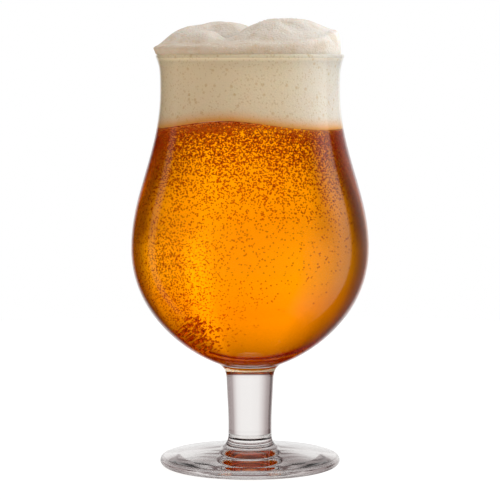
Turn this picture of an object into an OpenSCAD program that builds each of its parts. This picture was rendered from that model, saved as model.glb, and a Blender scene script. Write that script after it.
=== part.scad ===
// Tulip beer glass on a short stem, full of amber beer with a head of foam.
// Millimetres, +Z up. The origin is the middle of the plane that the foot stands on,
// and +Y points away from the side that is seen.

/* [Foot] */
// Diameter of the foot across its rounded edge
foot_d = 72.5; // [60:0.5:90]
// Thickness of the foot at its rounded edge
foot_edge_t = 3.6; // [2:0.1:4]
// Height of the disc's top where the collar starts to rise
foot_disc_h = 7; // [5.5:0.1:8]
// Diameter of the collar where it runs out into the disc
foot_collar_d = 24; // [23:0.5:34]
// Height of the whole foot, from the table to the joint with the stem
foot_h = 12.5; // [10:0.5:16]
// Depth of the shallow hollow under the foot
foot_hollow_h = 1.4; // [0.5:0.1:3]
// Width of the flat ring that the foot stands on
foot_ring_w = 7.2; // [1.5:0.1:9]

/* [Stem] */
// Length of the stem, from the joint with the foot to the joint with the bowl
stem_l = 22.3; // [15:0.1:45]
// Diameter of the stem where it joins the foot
stem_bottom_d = 17.4; // [14:0.1:20]
// Diameter of the stem where it joins the bowl
stem_top_d = 19; // [15:0.1:22]

/* [Bowl] */
// Diameter where the bowl's underside meets the fillet above the stem
base_d = 27; // [24:0.5:34]
// Height of that fillet, from the joint with the stem
base_h = 6.5; // [4:0.1:8]
// Diameter of the belly, the widest part of the glass
belly_d = 95.2; // [85:0.2:110]
// Height from the top of the fillet to the middle of the belly
belly_h = 46.2; // [38:0.2:56]
// Diameter of the waist, the narrowest part of the neck
waist_d = 71.6; // [62:0.2:76]
// Height from the middle of the belly to the waist
neck_h = 63.3; // [50:0.1:80]
// Diameter of the rim, outside
rim_d = 75; // [70:0.2:82]
// Height from the waist to the top of the rim
lip_h = 14.2; // [9:0.1:20]
// Wall of the bowl at the rim, the waist and the belly
wall_t = 2; // [1.5:0.1:3]
// Glass in the middle of the bowl, above the level of the fillet's top
floor_t = 3.2; // [2.4:0.1:6]
// Rise of the bowl's underside where it leaves the fillet, in degrees
underside_deg = 21.3; // [16:0.1:27]
// Lean of the lip away from upright, in degrees
lip_deg = 21; // [5:1:30]

/* [Beer] */
// Depth of the beer line below the rim
beer_down = 27; // [18:0.5:45]
// Diameter of a bubble in the beer
bubble_d = 1.2; // [0.8:0.1:1.6]
// Room between a bubble and the glass or the beer line
bubble_room = 1.6; // [1:0.1:3]
// Number of bubbles in the layer close under the foam
veil_count = 24; // [8:1:40]
// Number of bubbles in the swarm below that layer
bubble_count = 48; // [12:1:80]
// Number of bubbles in each plume that rises along the glass
plume_count = 14; // [6:1:24]

/* [Foam] */
// Height of the foam above the rim
crown_h = 14.4; // [6:0.1:20]
// How far the foam swells past the top of the rim on its left
crown_spill = 1.9; // [0:0.1:3]
// How far the foam stands back from the top of the rim on its right
crown_back = 0.4; // [0:0.1:3]

/* [Hidden] */

$fn = 96;
// Straight steps in each curve of an outline
curve_steps = 18;
// Rings and spokes of the foam above the rim
crown_rings = 14;
crown_spokes = 48;
// Turn from one bubble to the next, in degrees
golden_deg = 137.508;

glass_color = [0.86, 0.90, 0.90, 0.45];
beer_color = [0.93, 0.52, 0.04, 0.85];
bubble_color = [1.00, 0.88, 0.55, 0.60];
head_color = [0.83, 0.75, 0.63];
crown_color = [0.90, 0.87, 0.82];

// Heights above the table
bowl_z = foot_h + stem_l;
base_z = bowl_z + base_h;
floor_z = base_z + floor_t;
belly_z = base_z + belly_h;
waist_z = belly_z + neck_h;
rim_z = waist_z + lip_h;
beer_z = rim_z - beer_down;

// Radii
foot_r = foot_d / 2;
foot_nose_r = foot_edge_t / 2;
foot_collar_r = foot_collar_d / 2;
stem_bottom_r = stem_bottom_d / 2;
stem_top_r = stem_top_d / 2;
base_r = base_d / 2;
belly_r = belly_d / 2;
waist_r = waist_d / 2;
rim_r = rim_d / 2;
lip_r = wall_t / 2;
lip_z = rim_z - lip_r;
crest_r = rim_r - lip_r;
bubble_r = bubble_d / 2;

// How far each curve's handle reaches, as a share of the stretch that it bends
hollow_handle_share = 0.5;
disc_handle_share = 0.35;
collar_handle_share = 0.6;
stem_handle_share = 0.4;
fillet_handle_share = 0.55;
underside_handle_share = 0.446;
belly_low_share = 0.526;
belly_high_share = 0.35;
waist_low_share = 0.39;
waist_high_share = 0.6;
lip_handle_share = 0.3;
floor_handle_share = 0.6;
belly_in_share = 0.54;

// Foam lobes: places across and back, half lengths and half widths as shares of the
// radius of the rim's crest, and heights as shares of the foam's height
lobe_shares = [
    [0.36, -0.16, 0.57, 0.41, 0.75],
    [-0.26, 0.33, 0.42, 0.33, 0.69],
    [-0.52, -0.27, 0.26, 0.22, 0.43],
    [-0.62, 0.27, 0.38, 0.30, 0.65],
];
// Turn of each lobe's length away from across, in degrees
lobe_deg = [25, -6, 10, 0];
// How flat a lobe is on top, and how softly it runs into the next as a share of the foam's height
lobe_power = 1.6;
lobe_blend_share = 0.05;
// How fast the lobes fade towards the foam's edge
fade_power = 5;
fade_round = 0.75;
// Low wall of foam along the rim: its height and its extra height on the right, and the height
// of its widest line on the left and on the right, as shares of the foam's height
wall_share = 0.24;
wall_right_share = 0.42;
bulge_left_share = 0.16;
bulge_right_share = 0.03;
// How square the wall's shoulder is, and how much squarer on its right
shoulder_power = 20;
shoulder_lean = 48;
// How much of the foam's swell past the crest is left where it sits on the rim
seat_spill_share = 0.5;

// Bubbles of the swarm: how far down the beer they reach and how far in from the wall
bubble_depth_share = 0.45;
bubble_in_shares = [1, 0.72, 0.94, 0.5, 0.86];
// Plumes of bubbles: turns about the axis, how far they spread to a side in degrees,
// and the heights of their ends as shares of the beer's depth
plume_deg = [-134, 122];
plume_spread_deg = 20;
plume_low_share = 0.1;
plume_high_share = 0.46;

// Point on a cubic curve with two ends and two handles, t from 0 to 1
function curve_point(p, t) =
    pow(1 - t, 3) * p[0] + 3 * t * pow(1 - t, 2) * p[1]
    + 3 * t * t * (1 - t) * p[2] + pow(t, 3) * p[3];

// Points along that curve, without its first end
function curve(p) = [for (i = [1 : curve_steps]) curve_point(p, i / curve_steps)];

// Points on an arc about a middle, from one angle to another
function arc(middle, r, from_deg, to_deg) = [
    for (i = [1 : curve_steps])
        let (a = from_deg + (to_deg - from_deg) * i / curve_steps)
        middle + r * [cos(a), sin(a)]
];

// Outside of the bowl, from the joint with the stem up to the lip
base_run = (belly_r - base_r) * underside_handle_share;
fillet_run = (base_r - stem_top_r) * fillet_handle_share;
lip_run = (lip_z - waist_z) * lip_handle_share;
bowl_outside = concat(
    [[stem_top_r, bowl_z]],
    curve([
        [stem_top_r, bowl_z],
        [stem_top_r, bowl_z + base_h * fillet_handle_share],
        [base_r - fillet_run, base_z - fillet_run * tan(underside_deg)],
        [base_r, base_z]]),
    curve([
        [base_r, base_z],
        [base_r + base_run, base_z + base_run * tan(underside_deg)],
        [belly_r, belly_z - belly_h * belly_low_share],
        [belly_r, belly_z]]),
    curve([
        [belly_r, belly_z],
        [belly_r, belly_z + neck_h * belly_high_share],
        [waist_r, waist_z - neck_h * waist_low_share],
        [waist_r, waist_z]]),
    curve([
        [waist_r, waist_z],
        [waist_r, waist_z + (lip_z - waist_z) * waist_high_share],
        [rim_r - lip_run * tan(lip_deg), lip_z - lip_run],
        [rim_r, lip_z]]));

// Inside of the bowl, from the middle of its floor up to the lip
belly_in_r = belly_r - wall_t;
waist_in_r = waist_r - wall_t;
rim_in_r = rim_r - wall_t;
bowl_inside = concat(
    [[0, floor_z]],
    curve([
        [0, floor_z],
        [belly_in_r * floor_handle_share, floor_z],
        [belly_in_r, belly_z - (belly_z - floor_z) * belly_in_share],
        [belly_in_r, belly_z]]),
    curve([
        [belly_in_r, belly_z],
        [belly_in_r, belly_z + neck_h * belly_high_share],
        [waist_in_r, waist_z - neck_h * waist_low_share],
        [waist_in_r, waist_z]]),
    curve([
        [waist_in_r, waist_z],
        [waist_in_r, waist_z + (lip_z - waist_z) * waist_high_share],
        [rim_in_r - lip_run * tan(lip_deg), lip_z - lip_run],
        [rim_in_r, lip_z]]));

// Radius of the bowl's inside at a height
inside_table = [for (p = bowl_inside) [p[1], p[0]]];
function inside_r(z) = lookup(z, inside_table);

// Middle of a bubble in the layer under the foam: a spiral that fills a level disc
veil_z = beer_z - bubble_room - bubble_r;
function veil_middle(i) =
    let (
        r = (inside_r(veil_z) - bubble_room - bubble_r) * sqrt((i + 1) / (veil_count + 1)),
        a = golden_deg * i)
    [r * cos(a), r * sin(a), veil_z];

// Middle of a bubble in the swarm: a spiral that runs down the beer, denser at its top
swarm_z = veil_z - bubble_room - bubble_d;
bubble_depth = (beer_z - floor_z) * bubble_depth_share;
function swarm_middle(i) =
    let (
        z = swarm_z - bubble_depth * pow((i + 1) / bubble_count, 2),
        in_share = bubble_in_shares[i % len(bubble_in_shares)],
        r = (inside_r(z) - bubble_room - bubble_r) * in_share,
        a = golden_deg * i)
    [r * cos(a), r * sin(a), z];

// Middle of a bubble in the plume at a turn: along the wall, swinging from side to side
function plume_middle(i, turn_deg) =
    let (
        up_share = plume_low_share + (plume_high_share - plume_low_share) * i / (plume_count - 1),
        z = floor_z + (beer_z - floor_z) * up_share,
        r = inside_r(z) - bubble_room - bubble_r,
        a = turn_deg + plume_spread_deg * sin(golden_deg * i))
    [r * cos(a), r * sin(a), z];

// How far a direction is to the right: 1 there, 0 on the left
function rightness(a) = (1 + cos(a)) / 2;

// Height of one lobe of the foam at a place
function lobe_height(x, y, i) =
    let (
        l = lobe_shares[i],
        dx = x - l[0] * crest_r,
        dy = y - l[1] * crest_r,
        along = (dx * cos(lobe_deg[i]) + dy * sin(lobe_deg[i])) / (l[2] * crest_r),
        across = (dy * cos(lobe_deg[i]) - dx * sin(lobe_deg[i])) / (l[3] * crest_r))
    crown_h * l[4] * exp(-pow(along * along + across * across, lobe_power));

// Height of the lobes together, each running softly into the next
lobe_blend = crown_h * lobe_blend_share;
function hill_height(x, y, i = 0, total = 0) =
    i == len(lobe_shares)
        ? lobe_blend * ln(total)
        : hill_height(x, y, i + 1, total + exp(lobe_height(x, y, i) / lobe_blend));

// Edge of the foam in a direction, with a share of its swell past the crest on the left
function crown_r(a, spill_share = 1) =
    crest_r + crown_spill * spill_share * pow(1 - rightness(a), 3) - crown_back * pow(rightness(a), 3);

// Point on the foam's top, at a share of the way out from its middle
function crown_point(out, a) =
    let (
        x = crown_r(a) * out * cos(a),
        y = crown_r(a) * out * sin(a),
        bulge_share = bulge_right_share + (bulge_left_share - bulge_right_share) * pow(1 - rightness(a), 3),
        full_share = wall_share + wall_right_share * pow(rightness(a), 5) * pow(out, 3),
        shoulder = sqrt(max(0, 1 - pow(out, shoulder_power + shoulder_lean * pow(rightness(a), 4)))),
        wall = crown_h * (bulge_share + (full_share - bulge_share) * shoulder),
        fade = pow(max(0, 1 - pow(out, fade_power)), fade_round))
    [x, y, rim_z + wall + hill_height(x, y) * fade];

// Point where the foam sits on the rim
function seat_point(a) =
    let (r = crown_r(a, seat_spill_share))
    [r * cos(a), r * sin(a), rim_z];

// Number of a point on the foam: the middle is 0, then ring after ring, the seat last
function crown_index(ring, spoke) = 1 + (ring - 1) * crown_spokes + spoke % crown_spokes;

module foot() {
    ring_out_r = foot_r - foot_nose_r;
    ring_in_r = ring_out_r - foot_ring_w;
    disc_run = (ring_out_r - foot_collar_r) * disc_handle_share;
    disc_rise = (foot_disc_h - foot_edge_t) * disc_handle_share;
    collar_run = (foot_collar_r - stem_bottom_r) * collar_handle_share;
    collar_rise = (foot_h - foot_disc_h) * collar_handle_share;
    outline = concat(
        [[0, foot_hollow_h]],
        curve([
            [0, foot_hollow_h],
            [ring_in_r * hollow_handle_share, foot_hollow_h],
            [ring_in_r * (1 - hollow_handle_share / 2), foot_hollow_h / 2],
            [ring_in_r, 0]]),
        [[ring_out_r, 0]],
        arc([ring_out_r, foot_nose_r], foot_nose_r, -90, 90),
        curve([
            [ring_out_r, foot_edge_t],
            [ring_out_r - disc_run, foot_edge_t + disc_rise],
            [foot_collar_r + disc_run, foot_disc_h - disc_rise],
            [foot_collar_r, foot_disc_h]]),
        curve([
            [foot_collar_r, foot_disc_h],
            [foot_collar_r - collar_run, foot_disc_h + collar_run * disc_rise / disc_run],
            [stem_bottom_r, foot_h - collar_rise],
            [stem_bottom_r, foot_h]]),
        [[0, foot_h]]);
    color(glass_color)
        rotate_extrude()
            polygon(outline);
}

module stem() {
    outline = concat(
        [[0, foot_h], [stem_bottom_r, foot_h]],
        curve([
            [stem_bottom_r, foot_h],
            [stem_bottom_r, foot_h + stem_l * stem_handle_share],
            [(stem_bottom_r + stem_top_r) / 2, bowl_z - stem_l * stem_handle_share],
            [stem_top_r, bowl_z]]),
        [[0, bowl_z]]);
    color(glass_color)
        rotate_extrude()
            polygon(outline);
}

module bowl() {
    inside_down = [for (i = [len(bowl_inside) - 1 : -1 : 0]) bowl_inside[i]];
    outline = concat(
        [[0, bowl_z]],
        bowl_outside,
        arc([crest_r, lip_z], lip_r, 0, 180),
        [for (i = [1 : len(inside_down) - 1]) inside_down[i]]);
    color(glass_color)
        rotate_extrude()
            polygon(outline);
}

module bubble_spheres() {
    middles = concat(
        [for (i = [0 : veil_count - 1]) veil_middle(i)],
        [for (i = [0 : bubble_count - 1]) swarm_middle(i)],
        [for (turn_deg = plume_deg, i = [0 : plume_count - 1]) plume_middle(i, turn_deg)]);
    for (middle = middles)
        translate(middle)
            sphere(d = bubble_d, $fn = 24);
}

module beer() {
    outline = concat(
        [for (p = bowl_inside) if (p[1] < beer_z) p],
        [[inside_r(beer_z), beer_z], [0, beer_z]]);
    color(beer_color)
        difference() {
            rotate_extrude()
                polygon(outline);
            bubble_spheres();
        }
}

module bubbles() {
    color(bubble_color)
        bubble_spheres();
}

module foam_head() {
    outline = concat(
        [[0, beer_z], [inside_r(beer_z), beer_z]],
        [for (p = bowl_inside) if (p[1] > beer_z) p],
        arc([crest_r, lip_z], lip_r, 180, 90),
        [[0, rim_z]]);
    color(head_color)
        rotate_extrude()
            polygon(outline);
}

module foam_crown() {
    spokes = [0 : crown_spokes - 1];
    spoke_deg = 360 / crown_spokes;
    points = concat(
        [crown_point(0, 0)],
        [for (ring = [1 : crown_rings], s = spokes)
            crown_point(sin(90 * ring / crown_rings), spoke_deg * s)],
        [for (s = spokes) seat_point(spoke_deg * s)]);
    middle_faces = [for (s = spokes) [0, crown_index(1, s + 1), crown_index(1, s)]];
    ring_faces = [for (ring = [1 : crown_rings], s = spokes, half = [0 : 1])
        half == 0
            ? [crown_index(ring, s + 1), crown_index(ring + 1, s + 1), crown_index(ring + 1, s)]
            : [crown_index(ring, s + 1), crown_index(ring + 1, s), crown_index(ring, s)]];
    base_face = [for (s = spokes) crown_index(crown_rings + 1, s)];
    color(crown_color)
        polyhedron(points, concat(middle_faces, ring_faces, [base_face]));
}

foot();
stem();
bowl();
beer();
bubbles();
foam_head();
foam_crown();
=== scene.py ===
import math

import bpy
import numpy as np
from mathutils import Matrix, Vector


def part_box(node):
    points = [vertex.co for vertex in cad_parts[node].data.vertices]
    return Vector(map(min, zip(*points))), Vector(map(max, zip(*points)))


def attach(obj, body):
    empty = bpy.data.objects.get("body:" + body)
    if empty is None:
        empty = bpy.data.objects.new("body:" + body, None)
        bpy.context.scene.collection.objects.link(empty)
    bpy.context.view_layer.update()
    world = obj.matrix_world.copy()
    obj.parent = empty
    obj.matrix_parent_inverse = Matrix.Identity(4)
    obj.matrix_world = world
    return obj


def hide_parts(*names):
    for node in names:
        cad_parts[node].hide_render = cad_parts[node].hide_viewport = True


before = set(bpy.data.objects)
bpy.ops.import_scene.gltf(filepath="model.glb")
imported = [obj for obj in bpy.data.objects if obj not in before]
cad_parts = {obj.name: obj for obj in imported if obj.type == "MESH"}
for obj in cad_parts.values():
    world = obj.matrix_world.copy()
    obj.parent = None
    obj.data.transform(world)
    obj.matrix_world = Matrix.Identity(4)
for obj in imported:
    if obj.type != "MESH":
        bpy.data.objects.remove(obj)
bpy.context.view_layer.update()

scene = bpy.context.scene
scene.view_settings.view_transform = "Standard"

# Camera
# A long lens at the height of the rim, pitched a little down, so that the rim is seen edge on
# and the foot as a flat ellipse.
photo_width_px = 500
focal_px = 2207
pitch_deg = 5.075
camera_back = 0.8817
rim_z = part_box("bowl")[1][2]
camera_data = bpy.data.cameras.new("camera")
camera_data.sensor_width = 36
camera_data.lens = camera_data.sensor_width * focal_px / photo_width_px
camera = bpy.data.objects.new("camera", camera_data)
camera.location = (0, -camera_back, rim_z)
camera.rotation_euler = (math.radians(90 - pitch_deg), 0, 0)
scene.collection.objects.link(camera)
scene.camera = camera
# A ray crosses many skins of glass, beer and bubbles before it leaves
most_crossings = 96
scene.cycles.max_bounces = most_crossings
scene.cycles.transmission_bounces = most_crossings
scene.cycles.glossy_bounces = most_crossings
scene.cycles.transparent_max_bounces = 24


# Studio
# A pale floor, a white backdrop with darker sides that draws the edges of the glass, and a soft
# box on each side that shows in the glass as a long highlight.
def linear(hex_colour):
    """sRGB hex to linear red, green, blue and alpha."""
    s = np.array([int(hex_colour[i : i + 2], 16) for i in (1, 3, 5)]) / 255
    rgb = np.where(s <= 0.04045, s / 12.92, ((s + 0.055) / 1.055) ** 2.4)
    return (*rgb, 1)


def add(tree, kind, settings=None, **inputs):
    """Adds one node. An input is a value, a node, or a node and the name of its output."""
    node = tree.nodes.new("ShaderNode" + kind)
    for name, value in (settings or {}).items():
        setattr(node, name, value)
    for name, value in inputs.items():
        socket = node.inputs[int(name[1:]) if name[1:].isdigit() else name.replace("_", " ")]
        source, *output = value if isinstance(value, tuple) else (value,)
        if isinstance(source, bpy.types.Node):
            named = [source.outputs[label] for label in output]
            in_use = named or [o for o in source.outputs if o.enabled]
            tree.links.new(in_use[0], socket)
        else:
            socket.default_value = value
    return node


def product(tree, *factors):
    """The product of numbers or nodes."""
    total = factors[0]
    for factor in factors[1:]:
        total = add(tree, "Math", {"operation": "MULTIPLY"}, i0=total, i1=factor)
    return total


def by_angle(tree, angle, levels):
    """A level for each angle in degrees, joined by straight lines."""
    ramp = add(tree, "ValToRGB", Fac=add(tree, "MapRange", i0=angle, i1=-math.pi, i2=math.pi))
    stops = ramp.color_ramp.elements
    while len(stops) < len(levels):
        stops.new(1)
    for stop, (degrees, level) in zip(stops, sorted(levels.items())):
        stop.position = (degrees + 180) / 360
        stop.color = (level, level, level, 1)
    return ramp


# Levels by angle in degrees: round the glass, where 0 is straight behind it and the viewer's right
# counts up, and by height above the horizon. First the room on the viewer's side
viewer_side = {
    -180: 0.5, -160: 0.55, -140: 0.45, -126: 0.7, -110: 1.1, -76: 1.1, -62: 0.2,
    86: 0.23, 98: 0.7, 110: 1.15, 160: 1.15, 172: 0.75, 180: 0.5,
}
# The backdrop behind the beer: above the horizon, below it, and where the lower one takes over
beer_round = {
    **viewer_side,
    -54: 0.09, -46: 0.165, -40: 0.3, -35: 0.5, -27: 0.68, -15: 1.1, -11: 1.3, -5: 1.25, 4: 1.17,
    8: 1.25, 11: 1.65, 15: 1.65, 18: 1.15, 28: 1, 36: 0.98, 42: 0.53, 48: 0.27, 54: 0.16,
}
beer_round_below = {
    **viewer_side,
    -54: 0.03, -46: 0.07, -40: 0.17, -35: 0.46, -27: 0.69, -20: 0.75, -15: 1.05, 0: 1.15, 11: 1.3,
    16: 1.02, 20: 0.93, 25: 0.86, 31: 0.66, 38: 0.38, 42: 0.18, 48: 0.13, 54: 0.1,
}
below_up = {-10: 1, -3: 0}
beer_up = {
    -90: 0.3, -60: 0.6, -30: 0.5, -24: 0.69, -20: 0.92, -14: 1.07, -11: 1, -9: 0.98, -4: 1,
    16: 1, 20: 0.9, 27: 0.74, 33: 0.62, 40: 0.5, 50: 0.2, 60: 0.1,
}
# Share of green and blue in the light behind the beer
beer_green_up = {-20: 0.72, -9: 0.74, 4: 0.745, 13: 0.6, 40: 0.55}
# The backdrop behind dry glass, as in the stem and foot
glass_round = {
    -180: 0.9, -110: 0.9, -74: 0.7, -66: 0.4, -60: 0.1, -56: 0.08, -45: 0.28, -37: 0.4, -31: 0.55,
    -22: 0.78, -15: 0.93, 0: 0.97, 16: 0.96, 25: 0.89, 34: 0.65, 39: 0.42, 55: 0.36, 66: 0.38,
    74: 0.7, 110: 0.9, 180: 0.9,
}
glass_up = {
    -90: 0.1, -52: 0.15, -43: 0.5, -37: 0.95, -20: 1, 12: 1, 17: 0.3, 41: 0.25, 44: 0.9, 52: 0.9,
    58: 0.2, 90: 0.1,
}
# Where the pale table shows all round, through dry glass and through beer
table_up = {-26: 1, -17: 0}
beer_table_up = {-44: 1, -21: 0}
# What the outside of the glass mirrors: the soft boxes, their falloff on the wall, the table's edge and
# a far wall
soft_box_round = {-78: 0, -74: 0.3, -67: 0.3, -63: 0, 64: 0, 68: 1, 80: 1, 92: 0.3, 98: 0.08, 104: 0}
soft_box_up = {-50: 0, -40: 0.12, -25: 0.28, 0: 0.32, 10: 0.42, 25: 0.6, 42: 0.85, 52: 0.9, 62: 0.1}
falloff_round = {64: 0, 68: 0.1, 74: 0.08, 86: 0.18, 97: 0.37, 107: 0.35, 117: 0.19, 130: 0}
falloff_up = {-60: 0, -45: 1, -2: 1, 10: 0.2, 20: 0}
edge_round = {-26: 0, -15: 0.8, 15: 0.8, 26: 0}
edge_up = {-28: 0, -18: 1, 10: 1, 24: 0}
far_wall_round = {15: 0, 20: 0.5, 33: 0.36, 42: 0.22, 50: 0.09, 57: 0.02, 62: 0}
far_wall_up = {-45: 0, -25: 0.3, -8: 0.6, 0: 0.9, 10: 1, 50: 1.3, 65: 0}
beer_level, glass_level = 1.22, 1.02
soft_box_level = 2.2
table_level = 1.1
room_level = 0.6
# How fast green and blue fall with the level, so that the dimmer sides of the studio are warmer
beer_warmth, glass_warmth = 1.1, 1.18

world = bpy.data.worlds.new("studio")
world.use_nodes = True
scene.world = world
sky = world.node_tree
sky.nodes.clear()
way = add(sky, "SeparateXYZ", Vector=(add(sky, "TexCoord"), "Generated"))
turn = add(sky, "Math", {"operation": "ARCTAN2"}, i0=(way, "X"), i1=(way, "Y"))
height = add(sky, "Math", {"operation": "ARCSINE"}, i0=(way, "Z"))
path = add(sky, "LightPath")


def panel(round_levels, up_levels, level=1):
    """Light that depends on the angle round the glass and on the height."""
    return product(sky, by_angle(sky, turn, round_levels), by_angle(sky, height, up_levels), level)


def backdrop(sides, up_levels, level, warmth, green_levels=None):
    """The studio as seen through the glass: its sides times a level for the height, warmer where dimmer."""
    red = product(sky, sides, by_angle(sky, height, up_levels), level)
    dimmed = add(sky, "Math", {"operation": "POWER"}, i0=red, i1=warmth)
    rest = product(sky, dimmed, by_angle(sky, height, green_levels)) if green_levels else dimmed
    return add(sky, "CombineColor", i0=red, i1=rest, i2=rest)


def either(choice, no, yes):
    """The second colour where the choice is 1, and the first where it is 0."""
    return add(sky, "Mix", {"data_type": "RGBA"}, i0=choice, i6=no, i7=yes)


def beyond(count, least):
    """Whether a ray has had more than a number of bounces of one kind."""
    return add(sky, "Math", {"operation": "GREATER_THAN"}, i0=(path, count), i1=least)


dark = linear("#000000")
table_in_mirror = product(sky, by_angle(sky, height, table_up), beyond("Glossy Depth", 0.5))
glass_sides = add(sky, "Mix", i0=by_angle(sky, height, table_up),
                  i2=by_angle(sky, turn, glass_round), i3=table_level)
dry_glass = backdrop(glass_sides, glass_up, glass_level, glass_warmth)
behind_glass = either(table_in_mirror, dry_glass, dark)
walls = add(sky, "Mix", i0=by_angle(sky, height, below_up),
            i2=by_angle(sky, turn, beer_round), i3=by_angle(sky, turn, beer_round_below))
beer_sides = add(sky, "Mix", i0=by_angle(sky, height, beer_table_up), i2=walls, i3=table_level)
behind_beer = backdrop(beer_sides, beer_up, beer_level, beer_warmth, beer_green_up)
# A ray that has crossed more skins than this is taken to have been through the beer
dry_crossings = 5.5
seen_through = either(beyond("Transmission Depth", dry_crossings), behind_glass, behind_beer)
mirrored = panel(soft_box_round, soft_box_up, soft_box_level)
for round_levels, up_levels in (
        (falloff_round, falloff_up), (edge_round, edge_up), (far_wall_round, far_wall_up)):
    mirrored = add(sky, "Math", {"operation": "ADD"}, i0=mirrored, i1=panel(round_levels, up_levels))
seen = either((path, "Is Transmission Ray"), mirrored, seen_through)
room = (room_level, room_level, room_level, 1)
seen_or_lit = either(beyond("Diffuse Depth", 0.5), seen, room)
white = linear("#FFFFFF")
light = add(sky, "Background", Color=either((path, "Is Camera Ray"), seen_or_lit, white))
add(sky, "OutputWorld", Surface=light)


def mesh_piece(name, points, faces, *materials):
    """A smooth mesh object at the origin."""
    mesh = bpy.data.meshes.new(name)
    mesh.from_pydata(points.tolist(), [], faces if isinstance(faces, list) else faces.tolist())
    mesh.shade_smooth()
    piece = bpy.data.objects.new(name, mesh)
    scene.collection.objects.link(piece)
    for material in materials:
        mesh.materials.append(material)
    return piece


def new_material(name):
    """An empty node material and its tree."""
    material = bpy.data.materials.new(name)
    material.use_nodes = True
    material.node_tree.nodes.clear()
    return material, material.node_tree


def closed_skin(rings, first, last):
    """Quads between the points of neighbouring rings, and a fan to a single point at each end."""
    count, around = rings.shape[:2]
    points = np.concatenate([[first], rings.reshape(-1, 3), [last]])
    step = np.arange(around)
    ahead = (step + 1) % around
    start = 1 + around * np.arange(count - 1)[:, None]
    corners = [start + step, start + ahead, start + around + ahead, start + around + step]
    quads = np.stack(corners, -1).reshape(-1, 4)
    end = 1 + around * (count - 1)
    first_fan = np.stack([np.zeros_like(step), 1 + ahead, 1 + step], -1)
    last_fan = np.stack([np.full_like(step, len(points) - 1), end + step, end + ahead], -1)
    return points, quads.tolist() + first_fan.tolist() + last_fan.tolist()


def revolve(profile, around):
    """A profile of radius and height turned about the axis, with both ends closed on the axis."""
    turn_at = np.linspace(0, 2 * np.pi, around, endpoint=False)
    r, z = profile[1:-1, 0, None], profile[1:-1, 1, None]
    rings = np.stack([r * np.cos(turn_at), r * np.sin(turn_at), z + 0 * turn_at], -1)
    return closed_skin(rings, (0, 0, profile[0, 1]), (0, 0, profile[-1, 1]))


# Matt white paint takes the soft shadow of the glass. Most of the floor glows instead, so that it is as
# white as the backdrop. Where it lights the foam it is paint alone, and through glass it isn't seen
floor_r, floor_points = 0.5, 96
floor_z = -0.0002
paint_share, floor_glow = 0.2, 1.12
floor_material, tree = new_material("painted_white_floor")
paint = add(tree, "BsdfDiffuse", Color=linear("#F4F4F4"))
glow = add(tree, "Emission", Strength=floor_glow)
shown = add(tree, "MixShader", i0=paint_share, i1=glow, i2=paint)
diffuse_bounces = (add(tree, "LightPath"), "Diffuse Depth")
lighting = add(tree, "Math", {"operation": "GREATER_THAN"}, i0=diffuse_bounces, i1=0.5)
add(tree, "OutputMaterial", Surface=add(tree, "MixShader", i0=lighting, i1=shown, i2=paint))
turn_at = np.linspace(0, 2 * np.pi, floor_points, endpoint=False)
disc = np.stack([floor_r * np.cos(turn_at), floor_r * np.sin(turn_at), floor_z + 0 * turn_at], -1)
floor = mesh_piece("floor", disc, [list(range(floor_points))], floor_material)
floor.visible_transmission = floor.visible_glossy = False


def lamp(name, place, aim, width, tall, watts, colour):
    """An area lamp that lights but isn't seen in the glass."""
    data = bpy.data.lights.new(name, "AREA")
    data.shape = "RECTANGLE"
    data.size, data.size_y = width, tall
    data.energy = watts
    data.color = linear(colour)[:3]
    light = bpy.data.objects.new(name, data)
    light.location = place
    light.rotation_euler = (Vector(aim) - Vector(place)).to_track_quat("-Z", "Y").to_euler()
    light.visible_camera = light.visible_glossy = light.visible_transmission = False
    scene.collection.objects.link(light)


# Place, aim, width, height, watts and colour of each lamp
lamp("key_right", (0.75, -0.35, 0.4), (0, 0, 0.12), 0.5, 0.7, 3.2, "#FFFFFF")
lamp("fill_left", (-0.6, -0.5, 0.2), (0, 0, 0.12), 0.5, 0.6, 2.0, "#FFEBD0")
lamp("back_right", (0.75, 0.3, 0.25), (0, 0, 0.14), 0.4, 0.6, 2.6, "#FFFFFF")
lamp("top", (0.25, 0.3, 0.85), (0, 0, 0.15), 0.4, 0.4, 3.6, "#FFFFFF")


# Glass
# The bowl, stem and foot are blown and pressed soda-lime glass, fused hot into one body, so they
# are one skin here. It runs from under the foot, up the outside, over the rim and down inside.
def bezier(a, b, c, d, steps=48):
    """Cubic curve from a to d with handles b and c, without its first end."""
    t = np.linspace(0, 1, steps + 1)[1:, None]
    a, b, c, d = (np.array(p, float) for p in (a, b, c, d))
    return (1 - t) ** 3 * a + 3 * (1 - t) ** 2 * t * b + 3 * (1 - t) * t**2 * c + t**3 * d


def arc(middle, r, from_deg, to_deg, steps=20):
    """Round stretch about a middle, without its first end."""
    a = np.radians(np.linspace(from_deg, to_deg, steps + 1)[1:, None])
    return np.array(middle) + r * np.concatenate([np.cos(a), np.sin(a)], 1)


foot_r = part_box("foot")[1][0]
foot_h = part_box("foot")[1][2]
stem_top_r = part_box("stem")[1][0]
bowl_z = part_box("stem")[1][2]
belly_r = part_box("bowl")[1][1]
foot_edge_t = 0.0036
foot_disc_h = 0.0070
foot_collar_r = 0.0120
foot_hollow_h = 0.0014
foot_ring_w = 0.0072
stem_bottom_r = 0.0087
base_r, base_h = 0.0135, 0.0065
belly_up = 0.0462
waist_r, neck_h = 0.0358, 0.0633
rim_r = 0.0375
wall_t = 0.002
base_floor_t = 0.0032
base_z = bowl_z + base_h
inner_floor_z = base_z + base_floor_t
belly_z = base_z + belly_up
waist_z = belly_z + neck_h
lip_r = wall_t / 2
lip_z = rim_z - lip_r
under_deg, lip_deg = 21.3, 21
under_slope = math.tan(math.radians(under_deg))
lip_slope = math.tan(math.radians(lip_deg))
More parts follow.
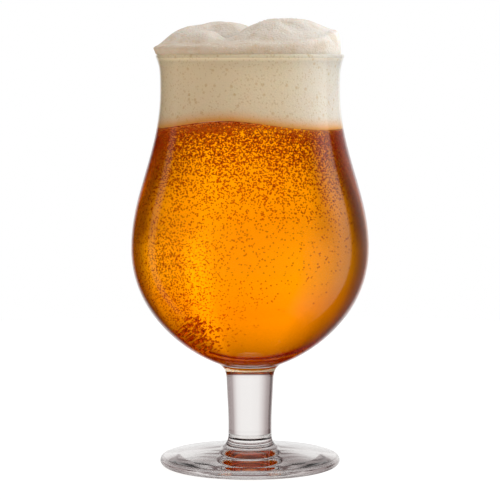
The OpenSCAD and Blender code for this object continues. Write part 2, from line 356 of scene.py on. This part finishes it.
# How far each curve's handles reach, as shares of its run or rise
hollow_in_share, hollow_out_share, disc_share, collar_share = 0.5, 0.75, 0.35, 0.6
stem_share, fillet_share = 0.4, 0.55
under_share, belly_low_share, belly_high_share = 0.446, 0.526, 0.35
waist_low_share, waist_high_share, lip_share = 0.39, 0.6, 0.3
floor_share, belly_in_share = 0.6, 0.54


def neck_curves(inset):
    """Belly to waist to lip, moved in from the outside."""
    belly, waist, rim = belly_r - inset, waist_r - inset, rim_r - inset
    lip_h = lip_z - waist_z
    lip_run = lip_share * lip_h
    return np.concatenate([
        bezier((belly, belly_z), (belly, belly_z + belly_high_share * neck_h),
               (waist, waist_z - waist_low_share * neck_h), (waist, waist_z), steps=80),
        bezier((waist, waist_z), (waist, waist_z + waist_high_share * lip_h),
               (rim - lip_run * lip_slope, lip_z - lip_run), (rim, lip_z), steps=30),
    ])


nose_r = foot_edge_t / 2
ring_out = foot_r - nose_r
ring_in = ring_out - foot_ring_w
disc_run, disc_rise = disc_share * (ring_out - foot_collar_r), disc_share * (foot_disc_h - foot_edge_t)
collar_run = collar_share * (foot_collar_r - stem_bottom_r)
collar_rise = collar_run * disc_rise / disc_run
collar_down = collar_share * (foot_h - foot_disc_h)
fillet_run = fillet_share * (base_r - stem_top_r)
under_run = under_share * (belly_r - base_r)
foot_profile = np.concatenate([
    [[0, foot_hollow_h]],
    bezier((0, foot_hollow_h), (hollow_in_share * ring_in, foot_hollow_h),
           (hollow_out_share * ring_in, foot_hollow_h / 2), (ring_in, 0)),
    [[ring_out, 0]],
    arc((ring_out, nose_r), nose_r, -90, 90),
    bezier((ring_out, foot_edge_t), (ring_out - disc_run, foot_edge_t + disc_rise),
           (foot_collar_r + disc_run, foot_disc_h - disc_rise), (foot_collar_r, foot_disc_h), steps=24),
    bezier((foot_collar_r, foot_disc_h), (foot_collar_r - collar_run, foot_disc_h + collar_rise),
           (stem_bottom_r, foot_h - collar_down), (stem_bottom_r, foot_h), steps=24),
])
stem_l = bowl_z - foot_h
stem_profile = bezier(
    (stem_bottom_r, foot_h), (stem_bottom_r, foot_h + stem_share * stem_l),
    ((stem_bottom_r + stem_top_r) / 2, bowl_z - stem_share * stem_l), (stem_top_r, bowl_z), steps=24)
bowl_outside = np.concatenate([
    bezier((stem_top_r, bowl_z), (stem_top_r, bowl_z + fillet_share * base_h),
           (base_r - fillet_run, base_z - fillet_run * under_slope), (base_r, base_z), steps=24),
    bezier((base_r, base_z), (base_r + under_run, base_z + under_run * under_slope),
           (belly_r, belly_z - belly_low_share * belly_up), (belly_r, belly_z), steps=64),
    neck_curves(0),
])
belly_in_r = belly_r - wall_t
belly_in_down = belly_in_share * (belly_z - inner_floor_z)
bowl_floor = np.concatenate([
    [[0, inner_floor_z]],
    bezier((0, inner_floor_z), (floor_share * belly_in_r, inner_floor_z),
           (belly_in_r, belly_z - belly_in_down), (belly_in_r, belly_z), steps=64),
])
bowl_inside = np.concatenate([bowl_floor, neck_curves(wall_t)])
lip = arc((rim_r - lip_r, lip_z), lip_r, 0, 180)
glass_profile = np.concatenate([foot_profile, stem_profile, bowl_outside, lip, bowl_inside[-2::-1]])


# Fire-polished soda-lime glass is smooth and almost colourless, so it shows only what it bends and
# mirrors. Where beer wets it the step in index is small, and the wall's inside all but vanishes
def glass_skin(name, ior):
    """Polished clear glass that bends light by its index and lets the lamps through."""
    material, tree = new_material(name)
    body = add(tree, "BsdfPrincipled", Base_Color=linear("#F7F4F2"), Roughness=0.0, IOR=ior,
               Transmission_Weight=1.0)
    clear = add(tree, "BsdfTransparent", Color=linear("#FBFCFB"))
    surface = add(tree, "MixShader", i0=(add(tree, "LightPath"), "Is Shadow Ray"), i1=body, i2=clear)
    add(tree, "OutputMaterial", Surface=surface)
    return material


glass_ior, beer_ior = 1.52, 1.345
glass_material = glass_skin("soda_lime_glass", glass_ior)
wet_glass_material = glass_skin("wetted_soda_lime_glass", glass_ior / beer_ior)
around = 160
glass = mesh_piece("glass", *revolve(glass_profile, around), glass_material, wet_glass_material)
beer_line_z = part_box("beer")[1][2]
# How far above the mean beer line the glass is wet
line_swing = 0.003
inside_start = len(glass_profile) - len(bowl_inside)
ring_inside = np.arange(len(glass_profile) - 3) >= inside_start
ring_wet = ring_inside & (glass_profile[1:-2, 1] < beer_line_z + line_swing)
wet = np.concatenate([np.repeat(ring_wet, around), np.zeros(around, bool), np.ones(around, bool)])
glass.data.polygons.foreach_set("material_index", wet.astype(np.int32))
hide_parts("bowl", "stem", "foot")
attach(glass, "root")


# Beer
# Clear amber beer that fills the bowl up to the foam. It wets the glass, so its skin lies just
# inside the wall, and its top follows the wavy lower edge of the foam.
wetting = 0.0001
# Turn, sharpness and height of each swell of the beer line, and how far the line lies below its mean
# between them
line_swells = ((-106, 4.4, 0.0042), (75, 4.0, 0.0024))
line_low = 0.0030


def line_wave(turn_at):
    """How far the beer line stands above its mean at each turn: two round swells on a low line."""
    swells = (
        tall * np.exp(sharp * (np.cos(turn_at - math.radians(deg)) - 1)) for deg, sharp, tall in line_swells)
    return sum(swells) - line_low


def inside_r(z):
    """Radius of the bowl's inside at a height."""
    return np.interp(z, bowl_inside[:, 1], bowl_inside[:, 0])


def beer_line(turn_at, share=1):
    """Height of the beer line, which flattens towards the middle of the glass."""
    return beer_line_z + line_wave(turn_at) * share**2


def wall_rings(turn_at, low, high, count, offset):
    """Rings up the inside of the bowl between two heights, moved out by an offset."""
    z = low + np.linspace(0, 1, count)[:, None] * (high - low)
    r = inside_r(z) + offset
    return np.stack([r * np.cos(turn_at), r * np.sin(turn_at), z], -1)


def line_rings(turn_at, shares, lift):
    """Rings across the beer line at shares of the way out to the wall."""
    share = np.array(shares)[:, None]
    z = beer_line(turn_at, share) + lift
    r = share * inside_r(beer_line(turn_at))
    return np.stack([r * np.cos(turn_at), r * np.sin(turn_at), z], -1)


def inset(profile, depth):
    """A profile moved to its left by a depth, along its normal."""
    step = np.gradient(profile, axis=0)
    normal = np.stack([-step[:, 1], step[:, 0]], -1) / np.linalg.norm(step, axis=1, keepdims=True)
    return profile + depth * normal


line_turn = np.linspace(0, 2 * np.pi, around, endpoint=False)
# Rings across the beer line, from near the axis to near the wall
line_first, line_last, line_ring_count = 0.05, 0.98, 24
line_shares = np.linspace(line_first, line_last, line_ring_count)
wavy_depth, wavy_rings = 0.008, 16
wavy_from = beer_line_z - wavy_depth
beer_wall = inset(bowl_inside, wetting)
beer_wall = beer_wall[beer_wall[:, 1] < wavy_from][1:]
still = np.stack([beer_wall[:, :1] * np.cos(line_turn), beer_wall[:, :1] * np.sin(line_turn),
                  beer_wall[:, 1:] + 0 * line_turn], -1)
beer_rings = np.concatenate([
    still,
    wall_rings(line_turn, wavy_from, beer_line(line_turn), wavy_rings, -wetting),
    line_rings(line_turn, line_shares[::-1], 0),
])
beer_skin = closed_skin(beer_rings, (0, 0, inner_floor_z + wetting), (0, 0, beer_line_z))
# Filtered amber beer is clear, and redder the longer the way that light takes through it. Its skin bends
# nothing, because the wetted glass already holds the step from glass to beer
beer_material, tree = new_material("filtered_amber_beer")
body = add(tree, "BsdfPrincipled", Base_Color=linear("#FFFFFF"), Roughness=0.0, IOR=1.0,
           Transmission_Weight=1.0)
clear = add(tree, "BsdfTransparent", Color=linear("#FFF0D8"))
surface = add(tree, "MixShader", i0=(add(tree, "LightPath"), "Is Shadow Ray"), i1=body, i2=clear)
amber = add(tree, "VolumeAbsorption", Color=linear("#FEF600"), Density=150.0)
add(tree, "OutputMaterial", Surface=surface, Volume=amber)
beer = mesh_piece("beer_fill", *beer_skin, beer_material)
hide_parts("beer")
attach(beer, "root")


# Bubbles
# Gas bubbles in the beer: a swarm that thins out downwards from the foam, a denser veil close under it,
# and plumes that rise along the wall from rough spots in the glass.
rng = np.random.default_rng(11)
ball_around, ball_rings = 4, 2
ball_turn = np.linspace(0, 2 * np.pi, ball_around, endpoint=False)
ball_tilt = np.linspace(-np.pi / 2, np.pi / 2, ball_rings + 2)[1:-1, None]
ball_grid = np.stack([np.cos(ball_tilt) * np.cos(ball_turn), np.cos(ball_tilt) * np.sin(ball_turn),
                      np.sin(ball_tilt) + 0 * ball_turn], -1)
ball_points, ball_faces = closed_skin(ball_grid, (0, 0, -1), (0, 0, 1))


def balls(name, middles, radii, material, slot):
    """A copy of the ball at every middle, as one mesh."""
    points = (middles[:, None] + radii[:, None, None] * ball_points).reshape(-1, 3)
    shift = len(ball_points) * np.arange(len(middles))[:, None, None]
    faces = []
    for corners in (3, 4):
        same = np.array([face for face in ball_faces if len(face) == corners])
        faces += (shift + same).reshape(-1, corners).tolist()
    piece = mesh_piece(name, points, faces, material)
    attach(piece, "root")
    return piece


# Carbon dioxide gas is clear and bends light outwards, so a bubble shows as a bright middle with a dark
# edge. The index is nearer 1 than that of real gas in beer, because balls of few faces turn too dark
bubble_material, tree = new_material("carbon_dioxide_gas")
bubble_bend = 0.86
gas = add(tree, "BsdfGlass", Color=linear("#F6CE98"), Roughness=0.0, IOR=bubble_bend)
add(tree, "OutputMaterial", Surface=gas)
bubble_clear = 0.0003
wall_lean = np.abs(np.gradient(bowl_inside[:, 0]) / np.maximum(np.gradient(bowl_inside[:, 1]), 1e-6))


def in_beer(turn_at, z, share, radii):
    """Middles at a turn, a height and a share of the way out to the wall, with room for each ball."""
    z = np.minimum(z, beer_line_z + line_wave(turn_at) - radii - bubble_clear)
    room = (radii + bubble_clear) * np.sqrt(1 + np.interp(z, bowl_inside[:, 1], wall_lean) ** 2)
    r = (inside_r(z) - room) * share
    return np.stack([r * np.cos(turn_at), r * np.sin(turn_at), z], -1)


# Side on which the swarm reaches deepest, how much deeper, and its end in mean depths
deep_side_deg, deep_share, deep_end = -105, 0.85, 3
# Thickness of the layer along the wall as a share of the radius, where it ends in thicknesses, and how far
# out the other bubbles lie
swarm_layer, layer_end, open_share = 0.025, 4, 0.95


def swarm(count, depth, evenness, bubble_r, wall_share):
    """Bubbles that thin out with depth and reach deeper on one side, along the wall or anywhere."""
    turn_at = rng.uniform(0, 2 * np.pi, count)
    reach = depth * (1 + deep_share * np.cos(turn_at - math.radians(deep_side_deg)))
    fall = rng.gamma(evenness, 1 / evenness, count)
    z = beer_line_z + line_wave(turn_at) - reach * np.where(fall < deep_end, fall, rng.uniform(size=count))
    radii = bubble_r * rng.uniform(0.7, 1.3, count)
    near = rng.uniform(size=count) < wall_share
    by_wall = 1 - swarm_layer * rng.exponential(1, count).clip(0, layer_end)
    anywhere = np.sqrt(rng.uniform(size=count)) * open_share
    return in_beer(turn_at, z, np.where(near, by_wall, anywhere), radii), radii


# Number, mean depth, evenness, radius and share along the wall
swarm_row = (12000, 0.0145, 1.8, 0.00026, 0.9)
veil_row = (12000, 0.0075, 1.4, 0.0003, 0.8)
swarm_piece = balls("bubble_swarm", *swarm(*swarm_row), bubble_material, "bubble_gas")
veil_piece = balls("bubble_veil", *swarm(*veil_row), bubble_material, "bubble_gas")
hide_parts("bubbles")
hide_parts("bubbles")
# Turn and spread of each plume, its lowest and highest bubble above the floor, and their number
plume_rows = ((-134, 18, 0.008, 0.056, 3000), (110, 5, 0.0155, 0.026, 600))
plume_bubble_r, plume_layer = 0.00021, 0.05


def plume(middle_deg, spread_deg, low, high, count):
    """A stream of bubbles up the wall, densest half way up."""
    z = inner_floor_z + low + (high - low) * rng.beta(1.7, 1.6, count)
    turn_at = np.radians(middle_deg + rng.normal(0, spread_deg, count))
    radii = plume_bubble_r * rng.uniform(0.6, 1.4, count)
    share = 1 - plume_layer * rng.exponential(1, count).clip(0, layer_end)
    return in_beer(turn_at, z, share, radii), radii


plumes = [plume(*row) for row in plume_rows]
plume_places, plume_radii = (np.concatenate(part) for part in zip(*plumes))
plume_piece = balls("bubble_plumes", plume_places, plume_radii, bubble_material, "bubble_gas")
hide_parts("bubbles")


# Foam head
# Fine wet foam that fills the neck of the glass above the beer. It is amber and wet at the bottom,
# where beer drains out of it, and it shows its larger bubbles against the glass.
crest_r = rim_r - lip_r
# Spacing, radius and share of its large, small and fine bubbles, and the size of its hollows and froth
large_pores, small_pores, fine_pores = (0.0021, 0.0008, 0.29), (0.001, 0.0004, 0.5), (0.0007, 0.00024, 0.6)
hollow_size, froth_size, froth_relief = 0.005, 0.0008, 0.0006
# Where the foam turns finer, and lighter by painted light, towards the right, and how high its painted shade
# from the rim reaches
right_light_from, right_light_to = 0.012, 0.034
fine_from, fine_to = -0.03, 0.036
rim_shade_h = 0.008
# Ring of the underside that glows, from the axis
lit_from, lit_to = 0.023, 0.033


# Beer foam is matt, because light scatters in countless small bubbles, and larger bubbles show as darker
# spots. Wet foam is amber, and drained foam whiter. Painted light makes it paler to the right and painted
# shade tan to the left, as if lit from the right, and painted shade darkens it along the rim. A glow under it
# near the wall stands for the light that comes through from above
def foam(name, left_shade_colour, right_light_colour, pore_share, relief_share,
         rim_shade_colour=None, hollow_share=0, let_through=0):
    """Foam: painted light to the right, painted shade to the left and at the rim, tan in hollows, amber where
    wet, bubble spots.
    """
    material, tree = new_material(name)
    place = (add(tree, "TexCoord"), "Object")
    where = add(tree, "SeparateXYZ", Vector=place)

    def mixed(factor, low, high):
        low, high = (linear(c) if isinstance(c, str) else c for c in (low, high))
        return add(tree, "Mix", {"data_type": "RGBA"}, i0=factor, i6=low, i7=high)

    def spots(cell, radius, chosen):
        cells = add(tree, "TexVoronoi", Vector=place, Scale=1 / cell)
        inside = add(tree, "MapRange", i0=(cells, "Distance"), i1=radius / cell, i2=0.6 * radius / cell)
        picked = add(tree, "Math", {"operation": "LESS_THAN"}, i0=(cells, "Color"), i1=chosen)
        return product(tree, inside, picked)

    # Painted light and shade: the colour goes from the shaded left colour to the lit right colour, as if a
    # lamp stood on the right
    right_light_share = add(tree, "MapRange", i0=(where, "X"), i1=right_light_from, i2=right_light_to)
    colour = mixed(right_light_share, left_shade_colour, right_light_colour)
    if rim_shade_colour:
        # Painted shade: the colour darkens towards the rim, and more so on the left
        at_rim_shade = add(tree, "MapRange", i0=(where, "Z"), i1=rim_z, i2=rim_z + rim_shade_h, i3=1.0, i4=0.0)
        rim_shade_share = add(tree, "MapRange", i0=right_light_share, i3=0.8, i4=0.3)
        colour = mixed(product(tree, at_rim_shade, rim_shade_share), colour, rim_shade_colour)
    if hollow_share:
        patches = add(tree, "TexNoise", Vector=place, Scale=1 / hollow_size, Detail=3.0)
        hollow = add(tree, "MapRange", i0=patches, i1=0.5, i2=0.68, i3=0.0, i4=hollow_share)
        colour = mixed(hollow, colour, "#A98A5C")
    colour = mixed(product(tree, spots(*large_pores), 0.4 * pore_share), colour, "#CFAC68")
    colour = mixed(product(tree, spots(*small_pores), 0.36 * pore_share), colour, "#C8AA70")
    finer = add(tree, "MapRange", i0=(where, "X"), i1=fine_from, i2=fine_to)
    fine_share = add(tree, "MapRange", i0=finer, i1=0.3, i2=1.0, i3=0.14, i4=0.4)
    colour = mixed(product(tree, spots(*fine_pores), fine_share), colour, "#CDC5B6")
    wet = add(tree, "Attribute", {"attribute_name": "wet"})
    colour = mixed((wet, "Fac"), colour, "#F4A324")
    froth = add(tree, "TexNoise", Vector=place, Scale=1 / froth_size, Detail=2.0)
    relief = add(tree, "Bump", Strength=relief_share, Distance=froth_relief, Height=froth)
    glow = {}
    if let_through:
        facing = add(tree, "SeparateXYZ", Vector=(add(tree, "NewGeometry"), "Normal"))
        underside = add(tree, "MapRange", i0=(facing, "Z"), i1=-0.5, i2=-0.9, i3=0.0, i4=let_through)
        across = add(tree, "VectorMath", {"operation": "MULTIPLY"}, i0=place, i1=(1, 1, 0))
        off_axis = (add(tree, "VectorMath", {"operation": "LENGTH"}, i0=across), "Value")
        lit_ring = add(tree, "MapRange", i0=off_axis, i1=lit_from, i2=lit_to)
        glow = {"Emission_Color": linear("#FFF0D0"), "Emission_Strength": product(tree, underside, lit_ring)}
    body = add(tree, "BsdfPrincipled", Base_Color=colour, Normal=relief, Roughness=0.8,
               Subsurface_Weight=0.2, Subsurface_Scale=0.003, **glow)
    add(tree, "OutputMaterial", Surface=body)
    return material


# Tan on the left for painted shade, and paler on the right for painted light
head_foam_material = foam("wet_beer_foam", "#F3E5CA", "#ECE8E0", 1, 0.3, let_through=0.7)
# Height of the wet foam above the beer line, and its depth from the wall as a share of the radius
wet_height, wet_share = 0.0055, 0.1
wet_fade = 1.6


def set_wet(piece):
    """Writes how wet each point is: 1 at the beer line on the wall, and 0 above it and away from the wall."""
    corners = np.empty(len(piece.data.vertices) * 3)
    piece.data.vertices.foreach_get("co", corners)
    x, y, z = corners.reshape(-1, 3).T
    above = z - beer_line_z - line_wave(np.arctan2(y, x))
    at_wall = ((np.hypot(x, y) / inside_r(z) - 1) / wet_share + 1).clip(0, 1)
    level = at_wall * (1 - above / wet_height).clip(0, 1) ** wet_fade
    wet = piece.data.attributes.new("wet", "FLOAT", "POINT")
    wet.data.foreach_set("value", level.astype(np.float32))


head_ring_count = 60
# Its top is drawn out into the rounded lip, so that no gap shows there
lip_swell, swell_power = 0.0011, 12
swell = lip_swell * np.linspace(0, 1, head_ring_count)[:, None] ** swell_power
lip_top = rim_z - wetting + 0 * line_turn
lip_ring = np.stack([crest_r * np.cos(line_turn), crest_r * np.sin(line_turn), lip_top], -1)
head_rings = np.concatenate([
    line_rings(line_turn, line_shares, wetting),
    wall_rings(line_turn, beer_line(line_turn) + wetting, lip_z, head_ring_count, wetting + swell),
    [lip_ring],
])
head_skin = closed_skin(head_rings, (0, 0, beer_line_z + wetting), (0, 0, rim_z))
foam_head = mesh_piece("head_of_foam", *head_skin, head_foam_material)
set_wet(foam_head)
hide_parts("foam_head")
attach(foam_head, "root")


# Foam crown
# Stiffer foam that stands above the rim in four lobes that run into each other, with a low wall along
# the rim. It swells over the rim on its left and stands up straight on its right.
crown_spill, crown_back = 0.0019, 0.0004
# Height of the crown's low wall, how much higher it is on the right, and the height of its widest line
wall_h, wall_right_h = 0.0033, 0.0059
bulge_h, bulge_right_h = 0.0022, 0.0004
seat_spill = 0.001
crown_around, crown_rings = 400, 130
# Middle, half length, half width, turn and height of each lobe, and of each dent
lobes = (
    ((0.0130, -0.006), 0.0208, 0.0150, 25, 0.0104),
    ((-0.0095, 0.012), 0.0155, 0.0120, -6, 0.0097),
    ((-0.0190, -0.010), 0.0095, 0.0080, 10, 0.0060),
    ((-0.0225, 0.010), 0.0140, 0.0110, 0, 0.0091),
)
dents = (
    ((-0.0225, -0.0185), 0.0050, 0.0032, 15, 0.0014),
    ((0.0020, -0.0180), 0.0080, 0.0045, 12, 0.0012),
    ((0.0175, -0.0160), 0.0050, 0.0028, -15, 0.0009),
)
lobe_blend, lobe_power = 0.0007, 1.6
# How sharply the wall turns over at its top, on the left and how much more on the right
shoulder_power, shoulder_lean = 20, 48
# How the lobes fade towards the wall, and the height and length of the crown's long and short lumps
fade_power, fade_round = 5, 0.75
long_lumps, short_lumps = (0.0003, 0.016), (0.00012, 0.006)
foam_rng = np.random.default_rng(44)


def waves(x, y, length, count=9):
    """Smooth random hills: plane waves of about one length in many directions."""
    heading = foam_rng.uniform(0, 2 * np.pi, count)
    number = 2 * np.pi / (length * foam_rng.uniform(0.8, 1.25, count))
    start = foam_rng.uniform(0, 2 * np.pi, count)
    phase = number * (x[..., None] * np.cos(heading) + y[..., None] * np.sin(heading)) + start
    return np.sin(phase).sum(-1) / math.sqrt(count / 2)


def lobe(x, y, middle, long_half, short_half, turn_deg, height):
    """A flat-topped hill on an ellipse: e to minus a power of the squared distance from its middle."""
    cos, sin = math.cos(math.radians(turn_deg)), math.sin(math.radians(turn_deg))
    along = ((x - middle[0]) * cos + (y - middle[1]) * sin) / long_half
    across = ((y - middle[1]) * cos - (x - middle[0]) * sin) / short_half
    return height * np.exp(-((along**2 + across**2) ** lobe_power))


turn_at = np.linspace(0, 2 * np.pi, crown_around, endpoint=False)
out = np.sin(np.linspace(0, np.pi / 2, crown_rings + 1)[1:])[:, None]
right, left = (1 + np.cos(turn_at)) / 2, (1 - np.cos(turn_at)) / 2
edge_r = crest_r + crown_spill * left**3 - crown_back * right**3
x, y = edge_r * out * np.cos(turn_at), edge_r * out * np.sin(turn_at)
bulge = bulge_right_h + (bulge_h - bulge_right_h) * left**3
shoulder = (1 - out ** (shoulder_power + shoulder_lean * right**4)) ** 0.5
wall = bulge + (wall_h + wall_right_h * right**5 * out**3 - bulge) * shoulder
hills = lobe_blend * np.log(sum(np.exp(lobe(x, y, *shape) / lobe_blend) for shape in lobes))
lumps = sum(tall * waves(x, y, length) for tall, length in (long_lumps, short_lumps))
hollows = sum(lobe(x, y, *shape) for shape in dents)
top = rim_z + wall + (hills + lumps - hollows) * (1 - out**fade_power) ** fade_round
seat_r = crest_r + seat_spill * left**3 - crown_back * right**3
seat = np.stack([seat_r * np.cos(turn_at), seat_r * np.sin(turn_at), np.full(crown_around, rim_z)], -1)
crown_grid = np.concatenate([[seat - [0, 0, wetting]], [seat], np.stack([x, y, top], -1)[::-1]])
crown_skin = closed_skin(crown_grid, (0, 0, rim_z - wetting), (0, 0, top[0].mean()))
# Darker on the left and along the rim for painted shade, and lighter on the right for painted light
crown_foam_material = foam(
    "stiff_beer_foam", "#D0C7BD", "#DAD6D0", 0.5, 1.0, rim_shade_colour="#B9A388", hollow_share=0.28)
foam_crown = mesh_piece("crown_of_foam", *crown_skin, crown_foam_material)
set_wet(foam_crown)
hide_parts("foam_crown")
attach(foam_crown, "root")


# Foam specks
# Larger bubbles that have not burst yet, half sunk in the crown's skin. Most lie along the rim and on
# the front right.
speck_count = 900
speck_deg, speck_spread_deg = -50, 45
speck_least_r, speck_more_r = 0.00014, 0.0002
# Draws each speck in a little, so that it sits in the crown's skin
speck_seat = (0.995, 0.995, 1)
rings_in = (crown_rings * foam_rng.beta(1.2, 2.6, speck_count)).astype(int).clip(0, crown_rings - 2)
speck_ring = crown_rings - 1 - rings_in
speck_turn = foam_rng.normal(speck_deg, speck_spread_deg, speck_count) / 360
speck_spoke = (crown_around * speck_turn).astype(int) % crown_around
speck_r = speck_least_r + speck_more_r * foam_rng.beta(1.2, 3.0, speck_count)
specks_at = np.stack([x, y, top], -1)[speck_ring, speck_spoke] * speck_seat
# A thin film of beer is pale and shiny, which gives each bubble a point of light
film_material, tree = new_material("bubble_film")
film = add(tree, "BsdfPrincipled", Base_Color=linear("#EFE9DF"), Roughness=0.2, Coat_Weight=0.6)
add(tree, "OutputMaterial", Surface=film)
balls("foam_specks", specks_at, speck_r, film_material, "beer_foam")
